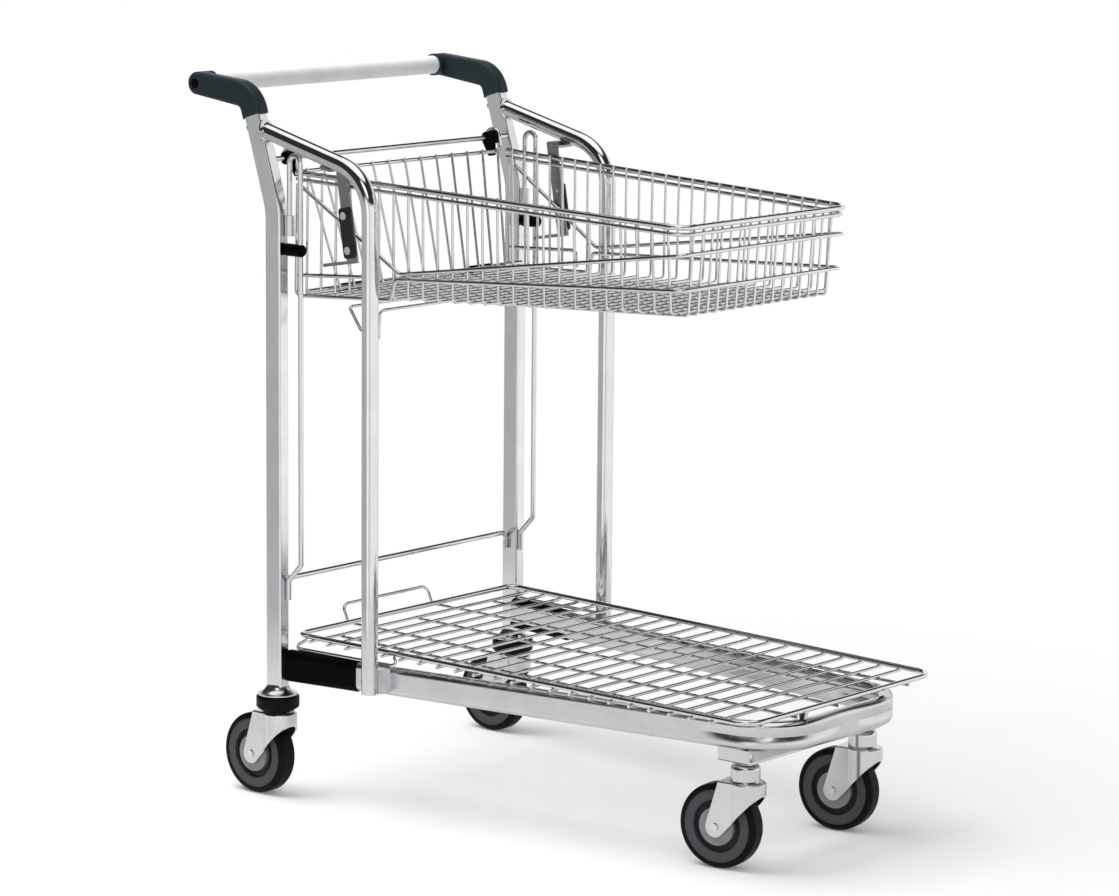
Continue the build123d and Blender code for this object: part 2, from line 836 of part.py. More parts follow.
# Gate: a top rod whose ends hook over the bushes, a bottom rod and upright wires
gate_bottom_x = stop_s + stop_radius + gate_r + rest_gap
gate_bottom_z = stop_z + 1
hook_r = gate_bush_radius + gate_r + run_gap + 0.02
hook_middle = back_x + pivot_x
hook_round = hook_r - 0.05
gate_hook = [
    (hook_middle - hook_r, pivot_z - 3),
    (hook_middle - hook_r, pivot_z + hook_r),
    (hook_middle + hook_r, pivot_z + hook_r),
    (back_x + gate_top_x, gate_top_z),
]
top_rod = bent(
    [(x, gate_top_half, z) for x, z in gate_hook] + [(x, -gate_top_half, z) for x, z in reversed(gate_hook)],
    gate_rod_diameter,
    [hook_round, hook_round, 8, 8, hook_round, hook_round],
)
bottom_rod = straight(
    (back_x + gate_bottom_x, -gate_bottom_half, gate_bottom_z),
    (back_x + gate_bottom_x, gate_bottom_half, gate_bottom_z),
    gate_rod_diameter,
)
with BuildPart() as gate_frame:
    add([top_rod, bottom_rod])
save(gate_frame.part, "gate_frame")
gate_fall = Vector(gate_bottom_x - gate_top_x, 0, gate_bottom_z - gate_top_z).normalized()
gate_face = Vector(-gate_fall.Z, 0, gate_fall.X)
gate_step = gate_face * (gate_r + wire_r + weld_gap)
gate_over = gate_fall * 4
gate_bars = []
for i in range(gate_wire_count):
    share = 2 * i / (gate_wire_count - 1) - 1
    top = Vector(back_x + gate_top_x, share * (gate_top_half - 14), gate_top_z)
    low = Vector(back_x + gate_bottom_x, share * (gate_bottom_half - 4), gate_bottom_z)
    first = top + gate_step - gate_over
    last = low + gate_step + gate_over
    gate_bars.append(straight(tuple(first), tuple(last), wire_diameter))
with BuildPart() as gate_wires:
    add(gate_bars)
save(gate_wires.part, "gate_wires")

# Hanger straps from the hoops to the basket, with a dark clamp plate on each
strap_width = 20.0
strap_thick = 4.0
strap_foot_reach = 50.0
strap_foot_height = 5.0
strap_back = 0.17
strap_in = 0.0
strap_s = 134.0
strap_z = between(strap_s, diagonal_s, diagonal_z, diagonal_foot_s, diagonal_foot_z)
strap_rim_s = strap_s - 30
strap_half = weld_gap + max(
    outside(strap_s, strap_z, 1)[1] + band_r,
    rim_half(strap_rim_s) + rim_r,
    outside(strap_rim_s, rim_z(strap_rim_s) - rim_drop, 1, 0.3)[1] + band_r,
)
strap_low = 46.0
strap_foot_middle = strap_foot_height / 2 - strap_low
hole_places = (-26.0, 26.0)
bolt_hole = 3.2
hoop_point_s = strap_s - strap_back * 100
flange_z = (
    hoop_start_height - hoop_slope * hoop_point_s - hoop_r / math.cos(math.radians(hoop_fall)) - weld_gap
)
strap_high = flange_z - strap_z
plate_length = 76.0
for name, sign in (("left", 1), ("right", -1)):
    strap_up = Vector(-strap_back, sign * strap_in, 1).normalized()
    strap_out = Vector(0, sign, 0) - strap_up * (sign * strap_up.Y)
    strap_out = strap_out.normalized()
    strap_along = strap_up.cross(strap_out) * sign
    base = Vector(back_x + strap_s, sign * strap_half, strap_z)
    strap_plane = Plane(origin=base, x_dir=strap_along, z_dir=strap_out)
    up_sign = 1 if strap_plane.y_dir.Z > 0 else -1
    fore_sign = 1 if strap_plane.x_dir.X > 0 else -1
    length_up = (strap_high - 1) / strap_up.Z
    flange_x = base.X + strap_up.X * length_up
    flange_in = abs(base.Y + strap_up.Y * length_up) - 1
    with BuildPart() as hanger:
        with BuildSketch(strap_plane):
            with Locations((0, up_sign * (length_up - strap_low) / 2)):
                Rectangle(strap_width, length_up + strap_low)
            with Locations((-fore_sign * strap_foot_reach / 2, up_sign * strap_foot_middle)):
                Rectangle(strap_width + strap_foot_reach, strap_foot_height)
            with Locations(*[(0, up_sign * v) for v in hole_places]):
                Circle(bolt_hole, mode=Mode.SUBTRACT)
        extrude(amount=strap_thick)
        with BuildSketch(
            Plane(
                origin=(flange_x, sign * (flange_in + post_y + 5) / 2, flange_z - strap_thick - 0.6),
                x_dir=(math.cos(math.radians(hoop_fall)), 0, -math.sin(math.radians(hoop_fall))),
                z_dir=(math.sin(math.radians(hoop_fall)), 0, math.cos(math.radians(hoop_fall))),
            )
        ):
            Rectangle(strap_width, post_y + 5 - flange_in)
        extrude(amount=strap_thick)
    save(hanger.part, f"{name}_hanger")

# Dark clamp plates on the straps and every bolt and nut of the frame
plates = []
fasteners = []
nut_bottom = bridge_bottom + bridge_sheet + weld_gap
for sign in (1, -1):
    strap_up = Vector(-strap_back, sign * strap_in, 1).normalized()
    strap_out = (Vector(0, sign, 0) - strap_up * (sign * strap_up.Y)).normalized()
    strap_along = strap_up.cross(strap_out) * sign
    base = Vector(back_x + strap_s, sign * strap_half, strap_z) + strap_out * (strap_thick + weld_gap)
    plate_plane = Plane(origin=base, x_dir=strap_along, z_dir=strap_out)
    with BuildPart() as plate:
        with BuildSketch(plate_plane):
            RectangleRounded(strap_width + 4, plate_length, 6)
            with Locations(*[(0, v) for v in hole_places]):
                Circle(bolt_hole, mode=Mode.SUBTRACT)
        extrude(amount=4)
    plates.append(plate.part)
    for v in hole_places:
        head = base + plate_plane.y_dir * v + strap_out * (4 + weld_gap)
        with BuildPart() as bolt:
            with BuildSketch(Plane(origin=head, x_dir=strap_along, z_dir=strap_out)):
                RegularPolygon(6.5, 6)
            extrude(amount=4)
            with BuildSketch(Plane(origin=head, x_dir=strap_along, z_dir=strap_out)):
                Circle(bolt_hole - push_gap)
            extrude(amount=-(4 + strap_thick))
        fasteners.append(bolt.part)
    hole_x, hole_z = leaning(hoop_bolt_run, -post_depth / 2 - weld_gap)
    bolt_plane = Plane(origin=(hole_x, sign * post_y, hole_z), z_dir=(-lean_out[0], 0, -lean_out[1]))
    with BuildPart() as bolt:
        with BuildSketch(bolt_plane):
            Circle(bolt_shank + 1.5)
        extrude(amount=6)
        fillet(bolt.edges().group_by(Axis(bolt_plane.origin, bolt_plane.z_dir))[-1], 2)
        with BuildSketch(bolt_plane):
            Circle(bolt_shank - push_gap)
        extrude(amount=-tube_wall)
    fasteners.append(bolt.part)
    with BuildPart() as nut:
        with BuildSketch(Plane((front_stem_x, sign * front_stem_y, nut_bottom))):
            RegularPolygon(11, 6)
            Circle(king_pin_radius + weld_gap, mode=Mode.SUBTRACT)
        extrude(amount=9)
    fasteners.append(nut.part)
with BuildPart() as clamp_plates:
    add(plates)
save(clamp_plates.part, "clamp_plates")
with BuildPart() as frame_bolts:
    add(fasteners)
save(frame_bolts.part, "frame_bolts")

# Handle brackets: plastic elbows over the post tops that hold the bar
bar_r = handle_bar_diameter / 2
bracket_half = post_depth / 2 + push_gap + bracket_wall
bracket_end_run = post_top_run - 25
collar_y = post_y - bracket_width / 2 - bracket_collar
plug_radius = 7.5
plug_depth = 2.5
bar_end_y = post_y + bracket_width / 2 - plug_depth - 4
arm_fall = 0.0885
front_low = leaning(bracket_end_run, bracket_half)
rear_low = leaning(bracket_end_run, -bracket_half - 1)
top_left = (handle_x, handle_height + bracket_end_radius)
low_left = (handle_x, handle_height - bracket_end_radius)


def arm_corner(foot, left, fall):
    """Where an arm edge meets a line up the leaning post."""
    lift = (left[1] - foot[1] - fall * (foot[0] - left[0])) / (lean_up[1] + fall * lean_up[0])
    return foot[0] + lift * lean_up[0], foot[1] + lift * lean_up[1]


outer_elbow = arm_corner(front_low, top_left, arm_fall)
inner_elbow = arm_corner(rear_low, low_left, arm_fall + 0.045)
for name, sign in (("left", 1), ("right", -1)):
    with BuildPart() as bracket:
        with BuildSketch(side_plane(sign * post_y)) as outline:
            with BuildLine():
                Polyline(top_left, outer_elbow, front_low, rear_low, inner_elbow, low_left)
                ThreePointArc(low_left, (handle_x - bracket_end_radius, handle_height), top_left)
            make_face()
            corner = outline.vertices().sort_by_distance((outer_elbow[0], outer_elbow[1], 0))[0]
            fillet(corner, bracket_elbow)
            corner = outline.vertices().sort_by_distance((inner_elbow[0], inner_elbow[1], 0))[0]
            fillet(corner, bracket_crook)
        extrude(amount=bracket_width / 2, both=True)
        fillet(bracket.faces().filter_by(Axis.Y).edges(), bracket_round)
        with BuildSketch(side_plane(sign * post_y)):
            with Locations((handle_x, handle_height)):
                Circle(bracket_end_radius)
        extrude(amount=sign * (bracket_width / 2 + bracket_collar))
        with BuildSketch(side_plane(sign * collar_y)):
            with Locations((handle_x, handle_height)):
                Circle(bar_r + weld_gap)
        extrude(amount=-sign * (bar_end_y + weld_gap - collar_y), mode=Mode.SUBTRACT)
        with BuildSketch(side_plane(sign * (post_y + bracket_width / 2))):
            with Locations((handle_x, handle_height)):
                Circle(plug_radius + weld_gap)
        extrude(amount=sign * plug_depth, mode=Mode.SUBTRACT)
        socket_x, socket_z = leaning(bracket_end_run - 1, 0)
        with BuildSketch(
            Plane(
                origin=(socket_x, sign * post_y, socket_z),
                x_dir=(lean_out[0], 0, lean_out[1]),
                z_dir=(lean_up[0], 0, lean_up[1]),
            )
        ):
            RectangleRounded(post_depth + 2 * push_gap, post_width + 2 * push_gap, 3)
        extrude(amount=post_top_run - bracket_end_run + 1.5, mode=Mode.SUBTRACT)
    save(bracket.part, f"{name}_handle_bracket")
with BuildPart() as handle_bar:
    with BuildSketch(side_plane(0)):
        with Locations((handle_x, handle_height)):
            Circle(bar_r)
            Circle(bar_r - tube_wall, mode=Mode.SUBTRACT)
    extrude(amount=bar_end_y, both=True)
save(handle_bar.part, "handle_bar")
with BuildPart() as handle_screws:
    for sign in (1, -1):
        with BuildSketch(side_plane(sign * (post_y + bracket_width / 2 - plug_depth + weld_gap))):
            with Locations((handle_x, handle_height)):
                Circle(plug_radius)
        extrude(amount=-sign * (plug_depth + 0.6))
save(handle_screws.part, "handle_screws")

# Deck reference lines: it turns about its own front rod above the front rail
hinge_x = front_x - rail_width / 2
hinge_z = rail_top + deck_hinge_rise
deck_r = deck_rod / 2
cross_drop = deck_r + deck_wire / 2 + weld_gap
deck_long_drop = cross_drop + deck_wire / 2 + deck_long / 2 + weld_gap
under_drop = deck_r + deck_long / 2 + weld_gap


def deck_z(x):
    """Height of the middle of the deck's edge rod at x."""
    return hinge_z + deck_slope * (hinge_x - x)


def deck_half(x):
    """Half width to the middle of the deck's edge rod at x."""
    return between(x, back_x + deck_rear_x, deck_rear_half, hinge_x, deck_front_half)


# Deck edge: one rod with its butt joint in the front side
deck_back = back_x + deck_rear_x
deck_edge = bent(
    [
        (hinge_x, deck_seam_y + weld_gap / 2, hinge_z),
        (hinge_x, deck_front_half, hinge_z),
        (deck_back, deck_rear_half, deck_z(deck_back)),
        (deck_back, -deck_rear_half, deck_z(deck_back)),
        (hinge_x, -deck_front_half, hinge_z),
        (hinge_x, deck_seam_y - weld_gap / 2, hinge_z),
    ],
    deck_rod,
    [30, 18, 18, 30],
)
save(deck_edge, "deck_edge")

# Deck wires: cross wires under the edge rod and long wires under those
deck_first = back_x + deck_wire_start
deck_wire_pitch = (hinge_x - deck_wire_end - deck_first) / (deck_wire_count - 1)
deck_stations = [deck_first + i * deck_wire_pitch for i in range(deck_wire_count)]
deck_bars = []
for x in deck_stations:
    half = deck_half(x) + deck_wire_over
    height = deck_z(x) - cross_drop
    deck_bars.append(straight((x, -half, height), (x, half, height), deck_wire))
loop_front = deck_first + 8
long_rear = deck_first - 5
long_front = hinge_x - rail_width / 2 - 1
for y in (-deck_outer_half, -deck_loop_half, 0, deck_loop_half, deck_outer_half):
    rear = loop_front + butt_gap if abs(y) == deck_loop_half else long_rear
    deck_bars.append(
        straight(
            (rear, y, deck_z(rear) - deck_long_drop),
            (long_front, y, deck_z(long_front) - deck_long_drop),
            deck_long,
        )
    )
with BuildPart() as deck_wires:
    add(deck_bars)
save(deck_wires.part, "deck_wires")

# Lift loop: two long wires run on under the rear edge, turn up behind it and cross over
loop_x = deck_back - 36
loop_lean = 12.0
loop_top = deck_z(deck_back) + 16
loop_points = [
    (loop_front, deck_z(loop_front) - deck_long_drop),
    (loop_x, deck_z(loop_x) - deck_long_drop),
    (loop_x - loop_lean, loop_top),
]
loop_right = [(x, -deck_loop_half, z) for x, z in loop_points]
loop_left = [(x, deck_loop_half, z) for x, z in reversed(loop_points)]
lift_loop = bent(
    loop_right + loop_left,
    deck_long,
    [8, 12, 12, 8],
)
save(lift_loop, "deck_lift_loop")

# Rest loops under the rear of the edge rod, which sit on the rail sleeves
rest_z = sleeve_top + rest_gap + deck_long / 2
rest_points = []
for s, out in ((50, -2), (32, 9), (240, 8), (224, -2)):
    x = back_x + s
    height = deck_z(x) - under_drop if out < 0 else rest_z
    rest_points.append((x, deck_half(x) + out, height))
rest_loops = [bent([(x, sign * y, z) for x, y, z in rest_points], deck_long, 5) for sign in (1, -1)]
with BuildPart() as deck_rest_loops:
    add(rest_loops)
save(deck_rest_loops.part, "deck_rest_loops")

# Saddles on the front rail in which the deck's front rod turns
saddle_foot = 4.0
saddle_lip = 6.6
saddle_wide = 8.0
with BuildPart() as deck_saddles:
    for sign in (1, -1):
        with BuildSketch(side_plane(sign * saddle_half)):
            with BuildLine():
                Polyline(
                    (hinge_x - saddle_foot, rail_top + weld_gap),
                    (hinge_x + saddle_foot, rail_top + weld_gap),
                    (hinge_x + saddle_lip, hinge_z - 0.5),
                    (hinge_x - saddle_lip, hinge_z - 0.5),
                    close=True,
                )
            make_face()
            with Locations((hinge_x, hinge_z)):
                Circle(deck_r + run_gap, mode=Mode.SUBTRACT)
        extrude(amount=saddle_wide / 2, both=True)
save(deck_saddles.part, "deck_saddles")

# Castor pieces, made once about the stem axis and then placed four times
leg_inner = wheel_width / 2 + fork_air
leg_outer = leg_inner + fork_sheet
axle_x = -castor_trail
leg_back = axle_x - leg_foot
leg_bottom = wheel_r - leg_foot
bell_front = bell_centre + bell_radius


def foot_touch(x, z, turn):
    """Where a line from x, z touches the round foot of a leg."""
    way = math.atan2(z - wheel_r, x - axle_x)
    swing = math.acos(leg_foot / math.hypot(x - axle_x, z - wheel_r))
    angle = way + turn * swing
    return axle_x + leg_foot * math.cos(angle), wheel_r + leg_foot * math.sin(angle)


rear_touch = foot_touch(-plate_back, plate_top, 1)
front_touch = foot_touch(bell_front, plate_top - bell_drop, -1)
with BuildPart() as fork:
    with BuildSketch(Plane.XY.offset(leg_bottom)) as plan:
        with Locations(((leg_back + bell_centre) / 2, 0)):
            Rectangle(bell_centre - leg_back, 2 * leg_outer)
        with Locations((bell_centre, 0)):
            Circle(bell_radius)
        fillet(plan.vertices().group_by(Axis.X)[1], bell_blend)
    extrude(amount=plate_top - leg_bottom)
    fillet(fork.faces().sort_by(Axis.Z)[-1].edges().filter_by(Axis.Y, reverse=True), fork_round)
    with BuildSketch(Plane.XY.offset(leg_bottom)):
        with Locations(((leg_back + bell_centre) / 2, 0)):
            Rectangle(bell_centre - leg_back, 2 * leg_inner)
        with Locations((bell_centre, 0)):
            Circle(bell_radius - fork_sheet)
    extrude(amount=plate_bottom - leg_bottom, mode=Mode.SUBTRACT)
    with BuildSketch(side_plane(0)):
        with BuildLine():
            Line((-plate_back, plate_top), rear_touch)
            ThreePointArc(rear_touch, (axle_x, leg_bottom), front_touch)
            Polyline(
                front_touch,
                (bell_front, plate_top - bell_drop),
                (bell_front, plate_top),
                (-plate_back, plate_top),
            )
        make_face()
    extrude(amount=bell_radius, both=True, mode=Mode.INTERSECT)
    with BuildSketch(Plane.XY.offset(plate_top)):
        Circle(race_radius)
    extrude(amount=race_height, taper=race_taper)
    with BuildSketch(Plane.XY.offset(crown_top)):
        Circle(king_pin_radius + run_gap)
    extrude(amount=-(crown_top - plate_bottom), mode=Mode.SUBTRACT)
    with BuildSketch(side_plane(0)):
        with Locations((axle_x, wheel_r)):
            Circle(axle_radius + weld_gap / 2)
    extrude(amount=leg_outer, both=True, mode=Mode.SUBTRACT)
axle_half = leg_inner + fork_sheet + weld_gap
with BuildPart() as axle:
    with BuildSketch(side_plane(0)):
        with Locations((axle_x, wheel_r)):
            Circle(axle_radius)
    extrude(amount=axle_half, both=True)
    for sign in (1, -1):
        with BuildSketch(side_plane(sign * axle_half)):
            with Locations((axle_x, wheel_r)):
                Circle(axle_radius + 1.2)
        extrude(amount=-sign * 2)
boss_radius = 12.0
hub_radius = 28.0
dish_radius = 39.0
dish_depth = 7.0
core_radius = wheel_r - tyre_depth
core_half = wheel_width / 2 - 1.5
hub_half = wheel_width / 2
with BuildPart() as wheel_core:
    with BuildSketch(Plane.XY):
        with BuildLine():
            Polyline(
                (axle_radius + run_gap, -hub_half - 1),
                (boss_radius, -hub_half - 1),
                (boss_radius, -hub_half),
                (hub_radius, -hub_half),
                (hub_radius, -hub_half + dish_depth),
                (dish_radius, -hub_half + dish_depth),
                (dish_radius, -core_half),
                (core_radius - weld_gap / 2, -core_half),
                (core_radius - weld_gap / 2, core_half),
                (dish_radius, core_half),
                (dish_radius, hub_half - dish_depth),
                (hub_radius, hub_half - dish_depth),
                (hub_radius, hub_half),
                (boss_radius, hub_half),
                (boss_radius, hub_half + 1),
                (axle_radius + run_gap, hub_half + 1),
                close=True,
            )
        make_face()
    revolve(axis=Axis.Y)
with BuildPart() as tyre:
    with BuildSketch(Plane.XY):
        with Locations((core_radius + tyre_depth / 2, 0)):
            Rectangle(tyre_depth, wheel_width)
        fillet(vertices().group_by(Axis.X)[-1], tyre_shoulder)
    revolve(axis=Axis.Y)
castors = (
    ("front_left", front_stem_x, front_stem_y, front_castor_turn),
    ("front_right", front_stem_x, -front_stem_y, front_castor_turn),
    ("rear_left", post_x, post_y, 0),
    ("rear_right", post_x, -post_y, 0),
)
for name, x, y, turn in castors:
    place = Location((x, y, 0), (0, 0, turn))
    wheel_place = place * Location((axle_x, 0, wheel_r))
    save(fork.part.moved(place), f"{name}_fork")
    save(axle.part.moved(place), f"{name}_axle")
    save(wheel_core.part.moved(wheel_place), f"{name}_wheel_core")
    save(tyre.part.moved(wheel_place), f"{name}_tyre")
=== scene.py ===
import json
import math

import bpy
from mathutils import Matrix, Vector

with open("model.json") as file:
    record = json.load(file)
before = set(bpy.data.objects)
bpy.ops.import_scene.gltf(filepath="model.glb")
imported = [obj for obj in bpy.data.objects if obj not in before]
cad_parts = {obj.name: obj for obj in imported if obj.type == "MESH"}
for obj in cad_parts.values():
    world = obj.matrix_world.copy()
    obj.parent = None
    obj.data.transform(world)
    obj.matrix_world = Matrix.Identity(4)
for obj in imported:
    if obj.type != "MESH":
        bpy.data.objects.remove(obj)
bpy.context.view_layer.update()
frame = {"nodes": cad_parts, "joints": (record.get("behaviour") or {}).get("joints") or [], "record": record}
nodes = frame["nodes"]
joints = {joint["name"]: joint for joint in frame["joints"]}
scene = bpy.context.scene

FORWARD = (1.0, 0.0, 0.0)
LEFT = (0.0, 1.0, 0.0)
UP = (0.0, 0.0, 1.0)
WHITE = (1.0, 1.0, 1.0, 1.0)
BLACK = (0.0, 0.0, 0.0, 1.0)

# Grain: a noise's scale along each axis, where small values make long streaks
EVEN_GRAIN = (1.0, 1.0, 1.0)
UPRIGHT_GRAIN = (1.0, 1.0, 0.06)
FORWARD_GRAIN = (0.06, 0.6, 1.0)

# Spans: the stretch of a noise over which one tone turns into another
EVEN_SPAN = (0.3, 0.7)
WIDE_SPAN = (0.25, 0.75)
LATE_SPAN = (0.3, 0.75)
DUST_SPAN = (0.35, 0.85)

# The Mix node's colour sockets by number, because its other kinds share their names
MIX_FIRST = 6
MIX_SECOND = 7
MIX_RESULT = 2


class Tree:
    """A node tree with short helpers, most of which give a new node's output."""

    def __init__(self, tree):
        self.tree = tree

    def new(self, kind, **settings):
        node = self.tree.nodes.new("ShaderNode" + kind)
        for key, value in settings.items():
            setattr(node, key, value)
        return node

    def feed(self, socket, value):
        """Link a node output into a socket, or write a plain value on it."""
        if isinstance(value, bpy.types.NodeSocket):
            self.tree.links.new(value, socket)
        else:
            socket.default_value = value

    def calculate(self, kind, operation, values):
        """A node that works on the given values, in the order of its inputs."""
        node = self.new(kind, operation=operation)
        for socket, value in zip(node.inputs, values):
            self.feed(socket, value)
        return node.outputs

    def math(self, operation, *values):
        return self.calculate("Math", operation, values)["Value"]

    def vector(self, operation, *values, output="Vector"):
        return self.calculate("VectorMath", operation, values)[output]

    def along(self, place, axis):
        """How far a place or a direction reaches along an axis."""
        return self.vector("DOT_PRODUCT", place, axis, output="Value")

    def step(self, value, low, high):
        """A smooth rise from 0 at low to 1 at high; low may be the larger one."""
        node = self.new("MapRange", interpolation_type="SMOOTHSTEP")
        self.feed(node.inputs["Value"], value)
        node.inputs["From Min"].default_value = min(low, high)
        node.inputs["From Max"].default_value = max(low, high)
        node.inputs["To Min"].default_value = 0.0 if low < high else 1.0
        node.inputs["To Max"].default_value = 1.0 if low < high else 0.0
        return node.outputs["Result"]

    def ramp(self, factor, *stops):
        """A colour ramp through (position, colour) stops; a number is a grey."""
        node = self.new("ValToRGB")
        elements = node.color_ramp.elements
        while len(elements) < len(stops):
            elements.new(0.5)
        for element, (position, colour) in zip(elements, stops):
            element.position = position
            shade = (colour,) * 3 if isinstance(colour, (int, float)) else colour
            element.color = (*shade, 1.0)
        self.feed(node.inputs["Fac"], factor)
        return node.outputs["Color"]

    def mix(self, factor, first, second, blend="MIX"):
        node = self.new("Mix", data_type="RGBA", blend_type=blend)
        self.feed(node.inputs["Factor"], factor)
        self.feed(node.inputs[MIX_FIRST], first)
        self.feed(node.inputs[MIX_SECOND], second)
        return node.outputs[MIX_RESULT]


class Shader(Tree):
    """One node material with a principled surface, in the object's own coordinates."""

    def __init__(self, name):
        self.material = bpy.data.materials.new(name)
        self.material.use_nodes = True
        super().__init__(self.material.node_tree)
        self.surface = self.tree.nodes["Principled BSDF"]
        self.place = self.new("TexCoord").outputs["Object"]

    def set(self, **values):
        """Values or node outputs on the surface's own sockets, with _ for a space."""
        for key, value in values.items():
            self.feed(self.surface.inputs[key.replace("_", " ")], value)

    def noise(self, scale, detail, stretch=EVEN_GRAIN):
        place = self.vector("MULTIPLY", self.place, stretch)
        node = self.new("TexNoise")
        node.inputs["Scale"].default_value = scale
        node.inputs["Detail"].default_value = detail
        self.feed(node.inputs["Vector"], place)
        return node.outputs["Fac"]

    def spread(self, noise, first, second, span=EVEN_SPAN):
        """Turn from the first tone to the second over a span of the noise."""
        return self.ramp(noise, (span[0], first), (span[1], second))

    def bump(self, height, depth):
        node = self.new("Bump")
        node.inputs["Distance"].default_value = depth
        self.feed(node.inputs["Height"], height)
        self.set(Normal=node.outputs["Normal"])


def shaded(tone, share):
    """A darker version of a tone."""
    return tuple(share * value for value in tone)


# Depths of the drawn grain in plated steel, in metres
DRAWN_DEPTH = 0.00003
WIRE_DEPTH = 0.00002
FINE_DEPTH = 0.000006


def plating(shader, tone, smooth, rough, grain):
    """Zinc plating: cloudy tone and patchy gloss. Gives the drawn grain that the gloss follows."""
    clouds = shader.noise(scale=22.0, detail=6.0)
    drawn = shader.noise(scale=110.0, detail=5.0, stretch=grain)
    shader.set(
        Base_Color=shader.spread(clouds, shaded(tone, 0.9), tone),
        Metallic=1.0,
        Roughness=shader.spread(drawn, smooth, rough, WIDE_SPAN),
    )
    return drawn


def plated(name, tone, smooth, rough, grain=EVEN_GRAIN, depth=DRAWN_DEPTH):
    """Zinc-plated steel with a faint drawn grain."""
    shader = Shader(name)
    drawn = plating(shader, tone, smooth, rough, grain)
    shader.bump(drawn, depth)
    return shader.material


# The rail's heights, and its front bends: where they are and how the tube is drawn in there, in metres
rail_heights = [corner[2] for corner in nodes["base_rail"].bound_box]
RAIL_MIDDLE = (max(rail_heights) + min(rail_heights)) / 2
RAIL_HALF_HEIGHT = (max(rail_heights) - min(rail_heights)) / 2
BEND_PLACE = (0.5, 0.13, 0.0)
BEND_REACH = (0.125, 0.06)
BEND_DEPTH = 0.0035
WAIST_WAVE = 0.9 * math.pi


def pinched(name, tone, smooth, rough):
    """Rail tube: plated steel with a waist between two bulges where it bends."""
    shader = Shader(name)
    plating(shader, tone, smooth, rough, FORWARD_GRAIN)
    folded = shader.vector("MULTIPLY", shader.vector("ABSOLUTE", shader.place), (1.0, 1.0, 0.0))
    reach = shader.vector("DISTANCE", folded, BEND_PLACE, output="Value")
    height = shader.math("SUBTRACT", shader.along(shader.place, UP), RAIL_MIDDLE)
    wave = shader.math("MULTIPLY", shader.math("ABSOLUTE", height), WAIST_WAVE / RAIL_HALF_HEIGHT)
    bulge = shader.math("SINE", wave)
    shader.bump(shader.math("MULTIPLY", bulge, shader.step(reach, *BEND_REACH)), BEND_DEPTH)
    return shader.material


def moulded(name, tone, smooth, rough, shine):
    """Moulded plastic: slight tone drift and a fine even texture."""
    shader = Shader(name)
    drift = shader.noise(scale=18.0, detail=5.0)
    shader.set(
        Base_Color=shader.spread(drift, shaded(tone, 0.86), tone),
        Roughness=shader.spread(drift, smooth, rough),
        Specular_IOR_Level=shine,
    )
    shader.bump(shader.noise(scale=900.0, detail=3.0), depth=0.00004)
    return shader.material


def rubber(name, tone, dust_tone, shine):
    """Black rubber with a little dust in its grain."""
    shader = Shader(name)
    dust = shader.noise(scale=60.0, detail=8.0)
    shader.set(
        Base_Color=shader.spread(dust, tone, dust_tone, DUST_SPAN),
        Roughness=shader.spread(dust, 0.36, 0.55, LATE_SPAN),
        Specular_IOR_Level=shine,
    )
    shader.bump(shader.noise(scale=700.0, detail=3.0), depth=0.00006)
    return shader.material


# Wheel face tones, with edges as shares of the radius, where the dark dish tone is painted shade in the
# recess; a wheel's axle is one radius above the floor
WHEEL_RADIUS = joints["front_left_spin"]["pos_m"][2]
HUB_EDGE = 0.0282 / WHEEL_RADIUS
RIM_EDGE = 0.0388 / WHEEL_RADIUS
EDGE_SOFT = 0.004
HUB_GREY = (0.26, 0.265, 0.275)
DISH_SHADE_GREY = (0.016, 0.017, 0.019)
# The dish's near-black tone is painted shade of its recess, on the same plastic as the rim
RIM_GREY = (0.07, 0.074, 0.08)


def wheel_face(corner):
    """Wheel plastic in three tones by distance from the axle: pale hub, a dish darkened with painted shade
    of its recess, grey rim.
    """
    spin = joints[corner + "_spin"]
    shader = Shader(corner + "_wheel_plastic")
    offset = shader.vector("SUBTRACT", shader.place, spin["pos_m"])
    across = shader.vector("CROSS_PRODUCT", offset, spin["axis"])
    length = shader.vector("LENGTH", across, output="Value")
    tones = shader.ramp(
        shader.math("DIVIDE", length, WHEEL_RADIUS),
        (0.0, HUB_GREY), (HUB_EDGE - EDGE_SOFT, HUB_GREY), (HUB_EDGE, DISH_SHADE_GREY),
        (RIM_EDGE - EDGE_SOFT, DISH_SHADE_GREY), (RIM_EDGE, RIM_GREY), (1.0, RIM_GREY),
    )
    drift = shader.noise(scale=55.0, detail=6.0)
    shader.set(
        Base_Color=shader.mix(1.0, tones, shader.spread(drift, 0.86, 1.0, LATE_SPAN), "MULTIPLY"),
        Roughness=shader.spread(drift, 0.36, 0.48),
        Specular_IOR_Level=0.15,
    )
    shader.bump(shader.noise(scale=600.0, detail=3.0), depth=0.00004)
    return shader.material


tube = plated("zinc_tube", (0.65, 0.655, 0.67), smooth=0.13, rough=0.21, grain=UPRIGHT_GRAIN)
hoop = plated("bright_tube", (0.62, 0.625, 0.635), smooth=0.05, rough=0.1, depth=FINE_DEPTH)
rail = pinched("zinc_rail", (0.56, 0.565, 0.58), smooth=0.17, rough=0.27)
wire = plated("bright_wire", (0.62, 0.625, 0.635), smooth=0.1, rough=0.17, depth=WIRE_DEPTH)
sheet = plated("zinc_sheet", (0.6, 0.605, 0.615), smooth=0.22, rough=0.27, depth=FINE_DEPTH)
